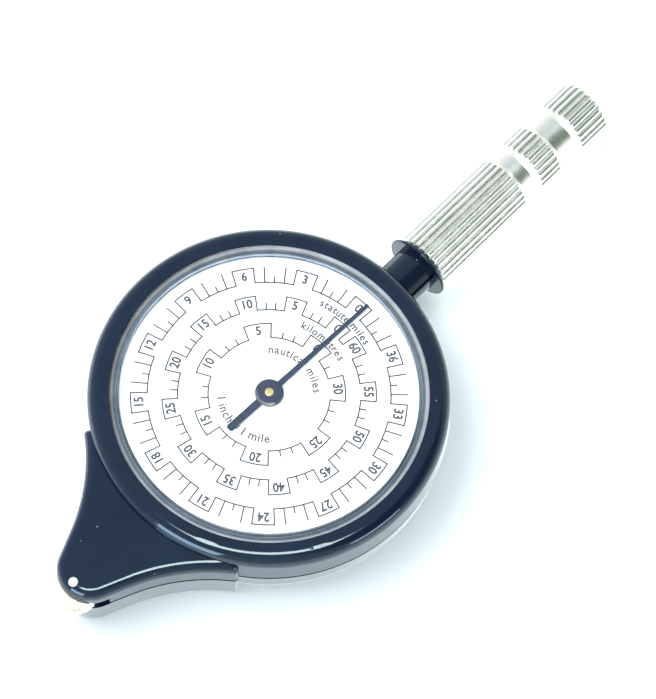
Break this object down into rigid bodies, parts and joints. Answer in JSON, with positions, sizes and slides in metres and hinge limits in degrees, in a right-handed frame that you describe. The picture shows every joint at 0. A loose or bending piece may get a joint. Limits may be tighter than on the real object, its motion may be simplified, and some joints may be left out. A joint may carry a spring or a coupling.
{
  "type": "measuring wheel",
  "caption": "Pocket map measurer: a knurled tracing wheel drives a hand over a round three-scale dial through a gear train, with a black case and a knurled metal handle.",
  "frame": {"origin": "on the dial's axis, in the plane of the flat back", "axes": "+Z out of the dial, +Y from the dial's centre along the handle, the tracing wheel towards -Y"},
  "size_m": [0.047, 0.1005, 0.0117],
  "materials": {
    "case_plastic": "glossy black moulded plastic",
    "clear_lens": "clear polished acrylic crystal",
    "white_plastic": "white moulded plastic",
    "ring_grey": "grey translucent plastic",
    "dial_white": "satin white with thin black print",
    "hand_black": "semi-gloss black",
    "brass": "turned brass",
    "gear_brass": "stamped brass sheet",
    "steel": "turned steel",
    "nickel": "nickel-plated",
    "handle_metal": "bright nickel-plated, straight knurled"
  },
  "bodies": {
    "case": {"front_case": "case_plastic", "back_case": "case_plastic", "lens": "clear_lens", "lens_ring": "ring_grey", "dial": "dial_white", "dial_spacer": "white_plastic", "movement_plate_bottom": "gear_brass", "movement_plate_top": "gear_brass", "plate_pillars": "brass", "plate_screws": "steel", "case_screws": "steel", "wheel_axle": "nickel", "handle_stud": "steel", "handle_flange": "case_plastic", "handle_barrel": "handle_metal"},
    "hand_set": {"hand": "hand_black", "hand_arbor": "brass", "hand_collet": "brass", "hand_gear": "gear_brass"},
    "second_set": {"second_gear": "gear_brass", "second_pinion": "brass", "second_arbor": "steel"},
    "first_set": {"first_gear": "gear_brass", "first_pinion": "brass", "first_arbor": "steel"},
    "wheel_set": {"tracing_wheel": "nickel", "wheel_pinion": "brass"}
  },
  "joints": [
    {"name": "hand_spin", "type": "hinge", "parent": "case", "child": "hand_set", "pos_m": [0, 0, 0.0067], "axis": [0, 0, 1], "continuous": true},
    {"name": "second_spin", "type": "hinge", "parent": "case", "child": "second_set", "pos_m": [0, -0.01975, 0.0067], "axis": [0, 0, 1], "continuous": true},
    {"name": "first_spin", "type": "hinge", "parent": "case", "child": "first_set", "pos_m": [0, -0.02935, 0.0057], "axis": [0, 0, 1], "continuous": true},
    {"name": "wheel_spin", "type": "hinge", "parent": "case", "child": "wheel_set", "pos_m": [0, -0.03495, 0.0067], "axis": [0, 0, 1], "continuous": true}
  ],
  "couplings": [
    {"joint": "second_spin", "follows": "hand_spin", "ratio": -3.9375},
    {"joint": "first_spin", "follows": "hand_spin", "ratio": 19.688},
    {"joint": "wheel_spin", "follows": "hand_spin", "ratio": -49.219}
  ]
}
